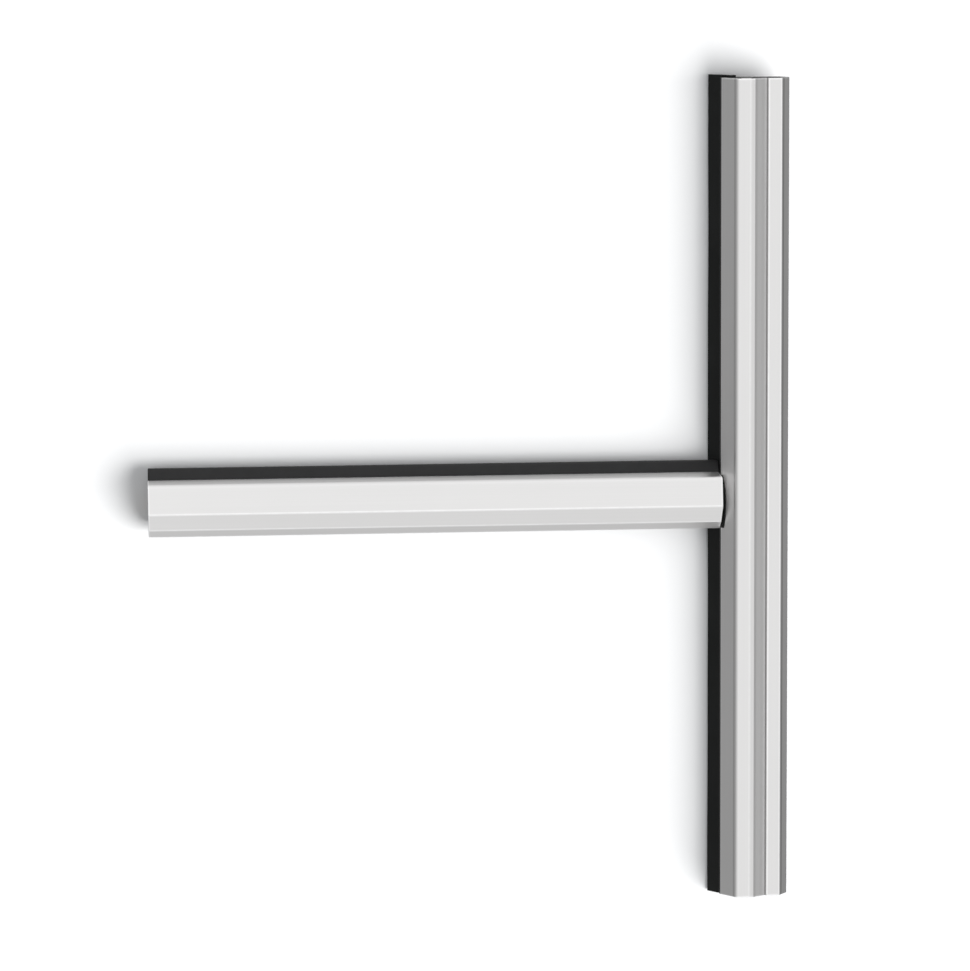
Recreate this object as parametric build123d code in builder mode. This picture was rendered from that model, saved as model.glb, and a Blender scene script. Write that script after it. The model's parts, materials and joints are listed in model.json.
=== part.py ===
"""A T-shaped window squeegee made from two aluminium extrusions.

The head lies along Y and the handle along X. Both stand on the glass side, z = 0, and their
aluminium covers face up. A rubber blade hangs from the handle side of the head. The handle tilts
up on a pin that lies along Y just beside the head, and the blade slides out of the head along -Y.
"""

from build123d import *

import os
from math import cos, radians, sin, tan

# ---------------------------------------------------------------- driving dimensions, in mm
head_length = 300.0
head_width = 24.6
rim_z = 10.0  # lower rims of both covers, above the plane of the blade's edge
crown_z = 16.2  # top of the head
ledge_z = 14.0  # the lower flat along the head's far side
cover_wall = 1.4
carrier_floor_z = 4.6
carrier_top_z = 11.6
pocket_rows = 11  # weight-saving pockets under the head
pocket_pitch = 27.0
pocket_width = 9.0
pocket_depth = 4.4
pocket_rib = 2.4
plug_thickness = 2.0

handle_length = 207.0
handle_width = 20.5  # between the rims, less the lower rim's lap
handle_top_z = 15.5
handle_y = -2.9  # middle of the handle cover
joint_gap = 0.5  # between the middle of the handle's end and the head's rim
end_slant = 0.45  # the cover's end reaches this much further along its lower rim than its upper one
end_lean = 0.88  # and its top reaches this much further over the head's bevel
lean_z = 12.0  # where it starts to lean
lower_lap = 0.4  # of the cover's lower rim beyond the handle's own width

strip_reach = 3.75  # how far the grip strip stands out beyond the cover's upper rim
strip_floor_z = 3.6
strip_root_z = 7.9  # underside of the strip's root, between core and cover
strip_gap = 0.6  # from the strip's mitred end to the head's rim
rim_lap = 0.4  # of the strip's root under the cover's rim
pad_round = 1.4
core_floor_z = 3.6
core_top_z = 11.9
core_inset = 3.75  # of the core's sides from the cover's rims
core_end_gap = 8.0  # from the core's end to the head's rim

blade_angle = 42.0  # of the blade below the horizontal
blade_overhang = 0.8  # past each end of the head
bead_radius = 1.75
neck_thickness = 1.7
lip_root = 2.6
lip_tip = 1.5
slot_clearance = 0.1
jaw_depth = 3.0  # from the bead's centre to the mouth of its slot
jaw_end = 4.5  # length of the face that the blade comes out of
lip_gap = 0.15  # between that face and the lip

pin_radius = 1.25
pin_chamfer = 0.3
pin_back = 3.4  # from the head's rim to the tilt axis
pin_z = 11.0
pin_offset = 2.6  # of the hinge's middle from the middle of the handle
web_angle = 50.0  # where the barrel's web leaves it, above the horizontal
stop_thickness = 0.2
stop_upper = 9.0  # the stop pad's reach to each side of the handle's middle
stop_lower = 10.3
barrel_radius = 2.6
barrel_width = 5.0
barrel_bore = 0.67  # wall between the pin's surface and the barrel's bore
bush_wall = 0.65
pin_fit = 0.02  # of the pin in the knuckles
bush_fit = 0.03  # of the pin in the bush
washer_fit = 0.05  # of the pin in the washers
washer_play = 0.02  # each side of a washer
washer_radius = 2.4
washer_gap = 0.4
knuckle_width = 2.2

socket_radius = 5.0
socket_depth = 34.0
socket_length = 43.0
socket_wall = 0.4
socket_mid_z = 7.6
liner_wall = 0.5
liner_fit = 0.02
liner_end_gap = 0.05

rail_x = 8.75  # the screw rail under the head's crown, from the rim
rail_width = 3.7
rail_z = 12.2
handle_rail_width = 3.8
handle_rail_z = 12.1
rail_root = 0.7  # a rail ends this far inside the outer face of its cover

screw_radius = 1.45
screw_head_radius = 2.55
screw_sink_radius = 2.75
screw_sink_angle = 82.0
screw_inset = 0.15  # from the face that a screw is sunk in
screw_point = 0.8
cross_length = 2.8
cross_width = 0.6
cross_depth = 0.9
head_screw_length = 9.5
handle_screw_length = 10.2
hole_clearance = 0.15
thread_clearance = 0.03
thread_depth = 2.2
pinch_radius = 1.46
pinch_x = 5.0  # from the rim
pinch_y = 143.0
pinch_z = 3.55
pinch_length = 1.5
pinch_hole_radius = 1.5
hex_radius = 0.8

fit_gap = 0.1

# ---------------------------------------------------------------- places worked out from them
rim_x = (handle_length + joint_gap - head_width) / 2  # the head's rim beside the handle
handle_end_x = rim_x - joint_gap
handle_start_x = handle_end_x - handle_length
upper_rim_y = handle_y + handle_width / 2
lower_rim_y = handle_y - handle_width / 2
pin_x = rim_x - pin_back
barrel_y = handle_y + pin_offset  # the middle of the hinge, under the tallest part of the cover
half_barrel = barrel_width / 2
pin_half = half_barrel + washer_gap + knuckle_width

u_x, u_z = -cos(radians(blade_angle)), -sin(radians(blade_angle))  # along the blade, outwards
v_x, v_z = u_z, -u_x  # across the blade, towards the handle
bead_x, bead_z = 3.9, 6.9  # from the head's rim
blade_reach = (bead_z - lip_tip / 2 * v_z) / -u_z  # bead's centre to the middle of the edge
web_turn = radians(web_angle)

core_start_x = handle_start_x + socket_length + fit_gap
core_end_x = rim_x - core_end_gap
core_lower_y = lower_rim_y + core_inset
core_upper_y = upper_rim_y - core_inset
rail_start_x = handle_start_x + socket_depth + 1.5
pad_start_x = core_start_x + 0.2
pad_end_x = core_end_x - 1.0
pad_top_z = rim_z - fit_gap

head_screw_y = [-135.0, -81.0, -27.0, 27.0, 81.0, 135.0]
core_screw_x = [core_start_x + 14.0 + 40.0 * i for i in range(4)]
socket_screw_x = handle_start_x + socket_length - 4.5
screw_head_height = (screw_head_radius - screw_radius) / tan(radians(screw_sink_angle / 2))

STANDING = (Align.CENTER, Align.CENTER, Align.MIN)  # a box or cylinder that stands on its place
LYING = (Align.MIN, Align.CENTER, Align.MIN)  # a box that starts at its place and runs along X


def head_plane(y=0.0):
    """The head's section plane: local x is measured from the rim, local y is height."""
    return Plane(origin=(rim_x, y, 0), x_dir=(1, 0, 0), z_dir=(0, -1, 0))


def blade_point(along, across):
    """A point of the blade's section, from the bead's centre."""
    return (bead_x + along * u_x + across * v_x, bead_z + along * u_z + across * v_z)


# ---------------------------------------------------------------- outlines of the two covers
head_inner = [
    (1.9, rim_z),
    (5.6, 13.9),
    (6.6, crown_z - cover_wall),
    (10.9, crown_z - cover_wall),
    (15.9, 11.9),
    (17.0, 12.5),
    (20.8, 12.5),
    (22.6, rim_z),
]
handle_inner = [
    (upper_rim_y - 1.45, rim_z),
    (upper_rim_y - 2.25, 13.6),
    (upper_rim_y - 2.75, handle_top_z - cover_wall),
    (upper_rim_y - 11.6, handle_top_z - cover_wall),
    (upper_rim_y - 17.15, 11.95),
    (lower_rim_y + 1.95 - lower_lap, rim_z),
]

# ---------------------------------------------------------------- head cover
with BuildPart() as head_cover:
    with BuildSketch(head_plane(-head_length / 2)):
        with BuildLine():
            Line((0, rim_z), (4.3, 14.8))  # bevel beside the handle
            ThreePointArc((4.3, 14.8), (5.14, 15.81), (6.4, crown_z))
            Polyline((6.4, crown_z), (10.1, crown_z), (11.5, 15.98), (12.2, 15.4), (14.2, 14.42))
            Polyline((14.2, 14.42), (16.15, 13.35), (16.5, 13.35), (16.75, ledge_z), (21.6, ledge_z))
            Polyline((21.6, ledge_z), (22.25, 12.9), (head_width, rim_z), (0, rim_z))
        make_face()
        with BuildLine():
            Polyline(*head_inner, close=True)
        make_face(mode=Mode.SUBTRACT)
        with Locations((rail_x, (rail_z + crown_z - rail_root) / 2)):
            Rectangle(rail_width, crown_z - rail_root - rail_z)
    extrude(amount=-head_length)
    with Locations(*[(rim_x + rail_x, y, rail_z) for y in head_screw_y]):
        Cylinder(screw_radius + thread_clearance, thread_depth, align=STANDING, mode=Mode.SUBTRACT)
head_cover.part.label = "head_cover"

# ---------------------------------------------------------------- head carrier, with the hinge barrel
wall_foot_z = bead_z - (jaw_depth + bead_x * u_x) / -u_z

with BuildPart() as head_carrier:
    with BuildSketch(head_plane(-head_length / 2)):
        with BuildLine():
            Polyline(
                (0, rim_z),
                (0, wall_foot_z),
                (jaw_end * -u_z, wall_foot_z + jaw_end * u_x),
                (6.5, wall_foot_z + jaw_end * u_x),
                (8.4, carrier_floor_z),
                (21.4, carrier_floor_z),
                (head_width, 7.6),
                (head_width, rim_z),
                (22.4, rim_z),
                (21.2, carrier_top_z),
                (3.7, carrier_top_z),
                (2.1, rim_z),
                close=True,
            )
        make_face()
        with Locations((bead_x, bead_z)):
            Circle(bead_radius + slot_clearance, mode=Mode.SUBTRACT)
        slot_half = neck_thickness / 2 + slot_clearance
        with BuildLine():
            Polyline(
                blade_point(0, slot_half),
                blade_point(jaw_depth + 1, slot_half),
                blade_point(jaw_depth + 1, -slot_half),
                blade_point(0, -slot_half),
                close=True,
            )
        make_face(mode=Mode.SUBTRACT)
    extrude(amount=-head_length)
    # weight-saving pockets between ribs, on the glass side
    with Locations((rim_x + 16.0, 0, carrier_floor_z)):
        with GridLocations(0, pocket_pitch, 1, pocket_rows):
            Box(pocket_width, pocket_pitch - pocket_rib, pocket_depth, align=STANDING, mode=Mode.SUBTRACT)
    # the hinge barrel and the web that carries it
    with BuildSketch(head_plane(barrel_y - half_barrel)):
        with Locations((-pin_back, pin_z)):
            Circle(barrel_radius)
        with BuildLine():
            Polyline(
                (0, wall_foot_z + 0.1),
                (-pin_back, pin_z - barrel_radius),
                (-pin_back + barrel_radius * cos(web_turn), pin_z + barrel_radius * sin(web_turn)),
                (0, rim_z),
                (0.6, rim_z),
                (0.6, wall_foot_z + 0.1),
                close=True,
            )
        make_face()
    extrude(amount=-barrel_width)
    with Locations(Location((pin_x, barrel_y, pin_z), (90, 0, 0))):
        Cylinder(pin_radius + barrel_bore, barrel_width + 1, mode=Mode.SUBTRACT)
    for y in head_screw_y:
        with Locations(Location((rim_x + rail_x, y, carrier_floor_z), (180, 0, 0))):
            CounterSinkHole(screw_radius + hole_clearance, screw_sink_radius, counter_sink_angle=screw_sink_angle)
    for end in (-1, 1):
        with Locations((rim_x + pinch_x, end * pinch_y, pinch_z - 0.5)):
            Cylinder(pinch_hole_radius, pinch_length + 0.9, align=STANDING, mode=Mode.SUBTRACT)
head_carrier.part.label = "head_carrier"

# ---------------------------------------------------------------- blade
with BuildPart() as blade:
    with BuildSketch(head_plane(-head_length / 2 - blade_overhang)):
        with Locations((bead_x, bead_z)):
            Circle(bead_radius)
        with BuildLine():
            Polyline(
                blade_point(0, neck_thickness / 2),
                blade_point(jaw_depth + lip_gap, neck_thickness / 2),
                blade_point(jaw_depth + lip_gap, lip_root / 2),
                blade_point(blade_reach, lip_tip / 2),
                blade_point(blade_reach, -lip_tip / 2),
                blade_point(jaw_depth + lip_gap, -lip_root / 2),
                blade_point(jaw_depth + lip_gap, -neck_thickness / 2),
                blade_point(0, -neck_thickness / 2),
                close=True,
            )
        make_face()
    extrude(amount=-(head_length + 2 * blade_overhang))
blade.part.label = "rubber_blade"


# ---------------------------------------------------------------- screws
def countersunk_screw(length):
    """A countersunk screw with a cross recess, its head's face at z = 0 and its shank along +Z."""
    with BuildPart() as screw:
        with BuildSketch(Plane.XZ):
            with BuildLine():
                Polyline(
                    (0, 0),
                    (screw_head_radius, 0),
                    (screw_radius, screw_head_height),
                    (screw_radius, length - screw_point),
                    (0.5, length),
                    (0, length),
                    close=True,
                )
            make_face()
        revolve(axis=Axis.Z)
        with BuildSketch(Plane.XY):
            Rectangle(cross_length, cross_width)
            Rectangle(cross_width, cross_length)
        extrude(amount=cross_depth, mode=Mode.SUBTRACT)
    return screw.part


head_screw = countersunk_screw(head_screw_length)
handle_screw = countersunk_screw(handle_screw_length)

with BuildPart() as head_cover_screws:
    with Locations(*[(rim_x + rail_x, y, carrier_floor_z + screw_inset) for y in head_screw_y]):
        add(head_screw)
head_cover_screws.part.label = "head_cover_screws"

with BuildPart() as handle_core_screws:
    with Locations(*[(x, handle_y, core_floor_z + screw_inset) for x in core_screw_x]):
        add(handle_screw)
handle_core_screws.part.label = "handle_core_screws"

with BuildPart() as end_socket_screw:
    with Locations((socket_screw_x, handle_y, core_floor_z + screw_inset)):
        add(handle_screw)
end_socket_screw.part.label = "end_socket_screw"

with BuildPart() as blade_pinch_screws:
    with Locations(*[(rim_x + pinch_x, end * pinch_y, pinch_z) for end in (-1, 1)]):
        Cylinder(pinch_radius, pinch_length, align=STANDING)
    with BuildSketch(Plane.XY.offset(pinch_z)):
        with Locations(*[(rim_x + pinch_x, end * pinch_y) for end in (-1, 1)]):
            RegularPolygon(hex_radius, 6)
    extrude(amount=pinch_length / 2, mode=Mode.SUBTRACT)
blade_pinch_screws.part.label = "blade_pinch_screws"


# ---------------------------------------------------------------- plugs in the head's two ends
def head_end_plug(y_start):
    """A plug that closes the space between carrier and cover."""
    with BuildPart() as plug:
        with BuildSketch(head_plane(y_start)):
            with BuildLine():
                Polyline(
                    (3.9, carrier_top_z + fit_gap),
                    (5.85, 13.8),
                    (6.7, crown_z - cover_wall - fit_gap),
                    (10.8, crown_z - cover_wall - fit_gap),
                    (15.4, carrier_top_z + 0.35),
                    (15.4, carrier_top_z + fit_gap),
                    close=True,
                )
            make_face()
            with Locations((rail_x, (rail_z + crown_z) / 2)):
                Rectangle(rail_width + 0.2, crown_z - rail_z + 0.2, mode=Mode.SUBTRACT)
        extrude(amount=-plug_thickness)
    return plug.part


upper_plug = head_end_plug(head_length / 2 - plug_thickness)
upper_plug.label = "head_end_plug_upper"
lower_plug = head_end_plug(-head_length / 2)
lower_plug.label = "head_end_plug_lower"

# ---------------------------------------------------------------- stop pad on the head's bevel
bevel = Vector(4.3, 0, 4.8).normalized()
stop_plane = Plane(origin=(rim_x, handle_y, rim_z), x_dir=(0, -1, 0), z_dir=(-bevel.Z, 0, bevel.X))
with BuildPart() as tilt_stop_pad:
    with BuildSketch(stop_plane):
        with BuildLine():
            Polyline((-stop_upper, 1.25), (-stop_upper, 0.4), (stop_lower, 0.4), (stop_lower, 1.7))
            ThreePointArc((stop_lower, 1.7), (2.5, 2.7), (-stop_upper, 1.25))
        make_face()
    extrude(amount=stop_thickness)
tilt_stop_pad.part.label = "tilt_stop_pad"

# ---------------------------------------------------------------- handle cover
with BuildPart() as handle_cover:
    with BuildSketch(Plane.YZ.offset(handle_start_x)):
        with BuildLine():
            Line((upper_rim_y, rim_z), (upper_rim_y - 0.9, 14.0))
            ThreePointArc(
                (upper_rim_y - 0.9, 14.0), (upper_rim_y - 1.35, 15.02), (upper_rim_y - 2.3, handle_top_z)
            )
            Polyline(
                (upper_rim_y - 2.3, handle_top_z),
                (upper_rim_y - 11.9, handle_top_z),
                (upper_rim_y - 17.95, 13.2),
                (lower_rim_y - lower_lap, rim_z),
                (upper_rim_y, rim_z),
            )
        make_face()
        with BuildLine():
            Polyline(*handle_inner, close=True)
        make_face(mode=Mode.SUBTRACT)
    extrude(amount=handle_length + 2)
    # screw rail, milled away over the hinge and over the end socket
    rail_length = core_end_x - 4 - rail_start_x
    with Locations((rail_start_x, handle_y, handle_rail_z)):
        Box(rail_length, handle_rail_width, handle_top_z - rail_root - handle_rail_z, align=LYING)
    # the end beside the head slants a little, and its top leans out over the bevel
    slant = end_slant / handle_width
    with BuildSketch(Plane(origin=(handle_end_x, handle_y, 0), x_dir=(1, slant, 0), z_dir=(slant, -1, 0))):
        with BuildLine():
            Polyline(
                (0, 0),
                (0, lean_z),
                (end_lean, handle_top_z),
                (end_lean, handle_top_z + 1),
                (10, handle_top_z + 1),
                (10, 0),
                close=True,
            )
        make_face()
    extrude(amount=30, both=True, mode=Mode.SUBTRACT)
    for x in [*core_screw_x, socket_screw_x]:
        with Locations((x, handle_y, handle_rail_z)):
            Cylinder(screw_radius + thread_clearance, thread_depth, align=STANDING, mode=Mode.SUBTRACT)
handle_cover.part.label = "handle_cover"

# ---------------------------------------------------------------- handle core, with the two knuckles
knuckle_mids = [
    barrel_y - half_barrel - washer_gap - knuckle_width / 2,
    barrel_y + half_barrel + washer_gap + knuckle_width / 2,
]
with BuildPart() as handle_core:
    with BuildSketch(Plane.YZ.offset(core_start_x)):
        with BuildLine():
            Polyline(
                (core_upper_y, core_floor_z),
                (core_upper_y, rim_z),
                (upper_rim_y - 1.6, rim_z),
                (upper_rim_y - 2.0, core_top_z),
                (upper_rim_y - 16.55, core_top_z),
                (lower_rim_y + 2.2, rim_z),
                (core_lower_y, rim_z),
                (core_lower_y, core_floor_z),
                close=True,
            )
        make_face()
    extrude(amount=core_end_x - core_start_x)
    for mid in knuckle_mids:
        with BuildSketch(Plane.XZ.offset(-mid)):
            with Locations((pin_x, pin_z)):
                Circle(barrel_radius)
            with Locations((pin_x, pin_z)):
                Rectangle(pin_x - core_end_x + 0.5, 2 * barrel_radius - 1.2, align=(Align.MAX, Align.CENTER))
        extrude(amount=knuckle_width / 2, both=True)
    with Locations(Location((pin_x, barrel_y, pin_z), (90, 0, 0))):
        Cylinder(pin_radius + pin_fit, 4 * pin_half, mode=Mode.SUBTRACT)
    for x in core_screw_x:
        with Locations(Location((x, handle_y, core_floor_z), (180, 0, 0))):
            CounterSinkHole(screw_radius + hole_clearance, screw_sink_radius, counter_sink_angle=screw_sink_angle)
handle_core.part.label = "handle_core"

# ---------------------------------------------------------------- grip pad under the core
with BuildPart() as grip_pad:
    with BuildSketch(Plane.YZ.offset(pad_start_x)) as pad_section:
        with BuildLine():
            Polyline(
                (core_upper_y + fit_gap, strip_root_z),
                (upper_rim_y - 0.5, strip_root_z),
                (upper_rim_y - 0.5, 3.4),
                (upper_rim_y - 3.9, 0),
                (lower_rim_y + 3.6, 0),
                (lower_rim_y + 0.15, 3.8),
                (lower_rim_y + 0.15, pad_top_z),
                (core_lower_y - fit_gap, pad_top_z),
                (core_lower_y - fit_gap, core_floor_z - fit_gap),
                (core_upper_y + fit_gap, core_floor_z - fit_gap),
                close=True,
            )
        make_face()
        outer = pad_section.vertices().filter_by(
            lambda corner: corner.Y < 0.1 or (corner.Y < 3.9 and abs(corner.X - handle_y) > handle_width / 2 - 1)
        )
        fillet(outer, pad_round)
    extrude(amount=pad_end_x - pad_start_x)
grip_pad.part.label = "grip_pad"

# ---------------------------------------------------------------- grip strip along the upper rim
strip_out_y = upper_rim_y + strip_reach
with BuildPart() as grip_strip:
    with BuildSketch(Plane.YZ.offset(handle_start_x)):
        with BuildLine():
            Polyline(
                (core_upper_y + fit_gap, strip_root_z + fit_gap),
                (core_upper_y + fit_gap, pad_top_z),
                (upper_rim_y - 0.1, pad_top_z),
                (upper_rim_y + 0.1, rim_z - 0.35),
                (strip_out_y - 0.55, 7.2),
                (strip_out_y, 6.2),
                (strip_out_y, 5.0),
                (strip_out_y - 1.3, strip_floor_z),
                (upper_rim_y - rim_lap, strip_floor_z),
                (upper_rim_y - rim_lap, strip_root_z + fit_gap),
                close=True,
            )
        make_face()
    extrude(amount=handle_length)
    # mitred end, clear of the carrier's wall and of the blade
    with BuildSketch(Plane.XZ.offset(-40)):
        with BuildLine():
            Polyline(
                (rim_x - strip_gap, 20),
                (rim_x - strip_gap, wall_foot_z),
                (rim_x - strip_gap + 6 * u_x, wall_foot_z + 6 * u_z),
                (rim_x + 4, wall_foot_z + 6 * u_z),
                (rim_x + 4, 20),
                close=True,
            )
        make_face()
    extrude(amount=80, mode=Mode.SUBTRACT)
    # the root stops short of the knuckles
    with Locations((pad_end_x, core_upper_y, strip_root_z)):
        Box(30, core_inset - rim_lap, 4, align=(Align.MIN, Align.MIN, Align.MIN), mode=Mode.SUBTRACT)
grip_strip.part.label = "grip_strip"

# ---------------------------------------------------------------- end socket and its liner
with BuildPart() as end_socket:
    with BuildSketch(Plane.YZ.offset(handle_start_x)):
        with BuildLine():
            Polyline(
                (core_upper_y + fit_gap, strip_root_z),
                (upper_rim_y - 0.5, strip_root_z),
                (upper_rim_y - 0.5, 3.4),
                (upper_rim_y - 3.9, socket_wall),
                (lower_rim_y + 3.6, socket_wall),
                (lower_rim_y + 0.15, 3.8),
                (lower_rim_y + 0.15, pad_top_z),
                (lower_rim_y + 2.2, pad_top_z),
                (lower_rim_y + 3.95, core_top_z),
                (upper_rim_y - 11.7, handle_top_z - cover_wall - fit_gap),
                (upper_rim_y - 3.0, handle_top_z - cover_wall - fit_gap),
                (upper_rim_y - 2.4, 13.5),
                (upper_rim_y - 1.65, pad_top_z),
                (core_upper_y, pad_top_z),
                (core_upper_y, strip_root_z),
                close=True,
            )
        make_face()
    extrude(amount=socket_length)
    with Locations((rail_start_x - 0.5, handle_y, handle_rail_z - fit_gap)):
        Box(20, handle_rail_width + 0.2, 5, align=LYING, mode=Mode.SUBTRACT)
    with Locations(Location((handle_start_x, handle_y, socket_mid_z), (0, 90, 0))):
        Cylinder(socket_radius + liner_wall, socket_depth, align=STANDING, mode=Mode.SUBTRACT)
    with Locations(Location((socket_screw_x, handle_y, core_floor_z), (180, 0, 0))):
        CounterSinkHole(screw_radius + hole_clearance, screw_sink_radius, counter_sink_angle=screw_sink_angle)
    with Locations((socket_screw_x, handle_y, -1)):
        Cylinder(screw_sink_radius, core_floor_z + 1, align=STANDING, mode=Mode.SUBTRACT)
end_socket.part.label = "end_socket"

with BuildPart() as socket_liner:
    with Locations(Location((handle_start_x, handle_y, socket_mid_z), (0, 90, 0))):
        Cylinder(socket_radius + liner_wall - liner_fit, socket_depth - liner_end_gap, align=STANDING)
        Cylinder(socket_radius, socket_depth, align=STANDING, mode=Mode.SUBTRACT)
socket_liner.part.label = "socket_liner"


# ---------------------------------------------------------------- hinge hardware, all on the tilt axis
def ring(outer, inner, y_from, y_to):
    """A ring about the tilt axis."""
    with BuildPart() as turned:
        with BuildSketch(Plane.XZ.offset(-y_from)):
            with Locations((pin_x, pin_z)):
                Circle(outer)
                Circle(inner, mode=Mode.SUBTRACT)
        extrude(amount=-(y_to - y_from))
    return turned.part


barrel_from, barrel_to = barrel_y - half_barrel, barrel_y + half_barrel
washer_bore = pin_radius + washer_fit
washer_width = washer_gap - 2 * washer_play
lower_washer_y = barrel_from - washer_gap + washer_play
upper_washer_y = barrel_to + washer_play
hinge_bush = ring(pin_radius + bush_wall, pin_radius + bush_fit, barrel_from, barrel_to)
hinge_bush.label = "hinge_bush"
hinge_washer_upper = ring(washer_radius, washer_bore, upper_washer_y, upper_washer_y + washer_width)
hinge_washer_upper.label = "hinge_washer_upper"
hinge_washer_lower = ring(washer_radius, washer_bore, lower_washer_y, lower_washer_y + washer_width)
hinge_washer_lower.label = "hinge_washer_lower"
with BuildPart() as hinge_pin:
    with Locations(Location((pin_x, barrel_y, pin_z), (90, 0, 0))):
        Cylinder(pin_radius, 2 * pin_half)
    chamfer(hinge_pin.edges().filter_by(GeomType.CIRCLE), pin_chamfer)
hinge_pin.part.label = "hinge_pin"

# ---------------------------------------------------------------- write one file for each piece
pieces = [
    head_cover.part,
    head_carrier.part,
    head_cover_screws.part,
    upper_plug,
    lower_plug,
    tilt_stop_pad.part,
    hinge_bush,
    blade_pinch_screws.part,
    blade.part,
    handle_cover.part,
    handle_core.part,
    handle_core_screws.part,
    grip_pad.part,
    grip_strip.part,
    end_socket.part,
    socket_liner.part,
    end_socket_screw.part,
    hinge_pin.part,
    hinge_washer_upper,
    hinge_washer_lower,
]
os.makedirs("parts", exist_ok=True)
for piece in pieces:
    export_step(piece, f"parts/{piece.label}.step")
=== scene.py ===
"""Window squeegee: the visible pieces, their finishes, and a plain studio around them.

Everything is in metres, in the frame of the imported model: +X runs from the handle's free end to the
head, +Y along the head, +Z away from the glass. Each operator makes one piece or a group of like
pieces, and the panel in the 3D view's sidebar lists them.
"""

import json
import math

import bmesh
import bpy
from bpy.props import FloatProperty, FloatVectorProperty, IntProperty, PointerProperty
from mathutils import Euler, Matrix, Vector

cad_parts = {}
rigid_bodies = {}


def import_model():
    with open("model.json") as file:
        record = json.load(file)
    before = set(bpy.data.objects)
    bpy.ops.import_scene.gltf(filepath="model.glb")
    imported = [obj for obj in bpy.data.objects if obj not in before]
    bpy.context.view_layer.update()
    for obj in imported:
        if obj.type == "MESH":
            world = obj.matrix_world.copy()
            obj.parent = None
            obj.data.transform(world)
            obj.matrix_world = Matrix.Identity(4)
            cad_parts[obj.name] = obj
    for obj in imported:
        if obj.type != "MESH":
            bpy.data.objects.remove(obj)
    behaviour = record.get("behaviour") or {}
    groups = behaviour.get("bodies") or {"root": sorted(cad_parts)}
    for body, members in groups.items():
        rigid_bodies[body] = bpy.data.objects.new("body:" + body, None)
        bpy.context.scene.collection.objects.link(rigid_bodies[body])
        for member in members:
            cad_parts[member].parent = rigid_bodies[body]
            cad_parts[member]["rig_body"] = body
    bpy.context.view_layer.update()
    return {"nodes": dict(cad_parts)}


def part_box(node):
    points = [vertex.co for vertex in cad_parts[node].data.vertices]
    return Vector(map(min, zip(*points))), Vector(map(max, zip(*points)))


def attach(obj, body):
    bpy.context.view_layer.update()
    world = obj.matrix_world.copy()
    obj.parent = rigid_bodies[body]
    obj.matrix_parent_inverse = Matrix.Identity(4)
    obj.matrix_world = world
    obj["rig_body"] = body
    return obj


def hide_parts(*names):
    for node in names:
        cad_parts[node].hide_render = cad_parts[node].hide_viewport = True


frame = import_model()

bl_info = {
    "name": "Window squeegee",
    "version": (1, 0, 0),
    "blender": (4, 5, 0),
    "location": "3D View > Sidebar > Squeegee",
    "description": "Builds an aluminium window squeegee and its finishes",
    "category": "Add Mesh",
}

MM = 0.001
FINISHES = {}  # each finish by its name, filled by the first operator

# ---------------------------------------------------------------- places read from the frame
head_low, head_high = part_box("head_cover")
cover_low, cover_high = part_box("handle_cover")
blade_low, blade_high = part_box("rubber_blade")
grip_low, grip_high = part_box("grip_pad")

RIM_X = head_low.x  # the head's rim beside the handle
RIM_Z = head_low.z  # the rims of both covers
UPPER_Y = cover_high.y  # the handle cover's rim beside the grip strip
HANDLE_WIDTH = 20.5 * MM  # without the lap of its lower rim
HANDLE_Y = UPPER_Y - HANDLE_WIDTH / 2
JOINT_GAP = 0.5 * MM
COVER_END = RIM_X - JOINT_GAP  # the middle of the handle cover's end, at the rims
END_SLANT = 0.45 * MM  # the handle cover's end is this much out of square
END_LEAN = 0.88 * MM  # and its top leans this much out over the head's bevel
LEAN_FROM, LEAN_TO = 2.0 * MM, 5.5 * MM  # heights above the rims
RAIL_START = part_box("end_socket")[1].x - 7.5 * MM  # the screw rail under the handle cover's top
RAIL_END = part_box("handle_core")[0].x + 147 * MM

# ---------------------------------------------------------------- sections, in mm
# Each corner is across, up, its radius, and how much painted light it carries: a painted highlight with some
# rubbing on an outward round, painted shade on an inward one (1 where it isn't given).
# The head cover: across from the rim beside the handle, up from the rims.
HEAD_SECTION = [
    (0.0, 0.0, 0.10),
    (4.48, 5.00, 0.06, 0.6),
    (5.00, 6.20, 1.80, 0.0),
    (10.1, 6.20, 0.80, 0.4),
    (11.65, 5.98, 0.40, 0.0),
    (12.4, 5.45, 0.30, 0.1),
    (14.2, 4.45, 4.00, 0.0),
    (16.38, 3.13, 0.06),
    (16.72, 4.00, 0.15),
    (21.6, 4.00, 0.25, 0.6),
    (22.25, 2.90, 0.06),
    (24.6, 0.0, 0.12, 0.5),
    (22.6, 0.0, 0.10),
    (20.8, 2.5, 0.30),
    (17.0, 2.5, 0.20),
    (15.9, 1.9, 0.20),
    (10.9, 4.8, 0.12),
    (10.6, 4.8, 0.10),
    (10.6, 2.2, 0.15),
    (6.9, 2.2, 0.15),
    (6.9, 4.8, 0.12),
    (6.6, 4.8, 0.12),
    (5.6, 3.9, 0.20),
    (1.9, 0.0, 0.10),
]
# The handle cover: across from the rim beside the grip strip, up from the rims.
HANDLE_SECTION = [
    (0.0, 0.0, 0.10),
    (1.20, 5.50, 1.25, 0.0),
    (11.9, 5.50, 0.30),
    (17.95, 3.20, 0.30),
    (20.9, 0.0, 0.12),
    (18.95, 0.0, 0.10),
    (17.15, 1.95, 0.30),
    (11.6, 4.10, 0.30),
    (2.75, 4.10, 0.25),
    (2.25, 3.60, 0.20),
    (1.45, 0.0, 0.10),
]
# The screw rail inside the handle cover, in the cover's own directions.
RAIL_SECTION = [(8.35, 4.4, 0.10), (12.15, 4.2, 0.10), (12.15, 2.1, 0.15), (8.35, 2.1, 0.15)]
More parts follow.
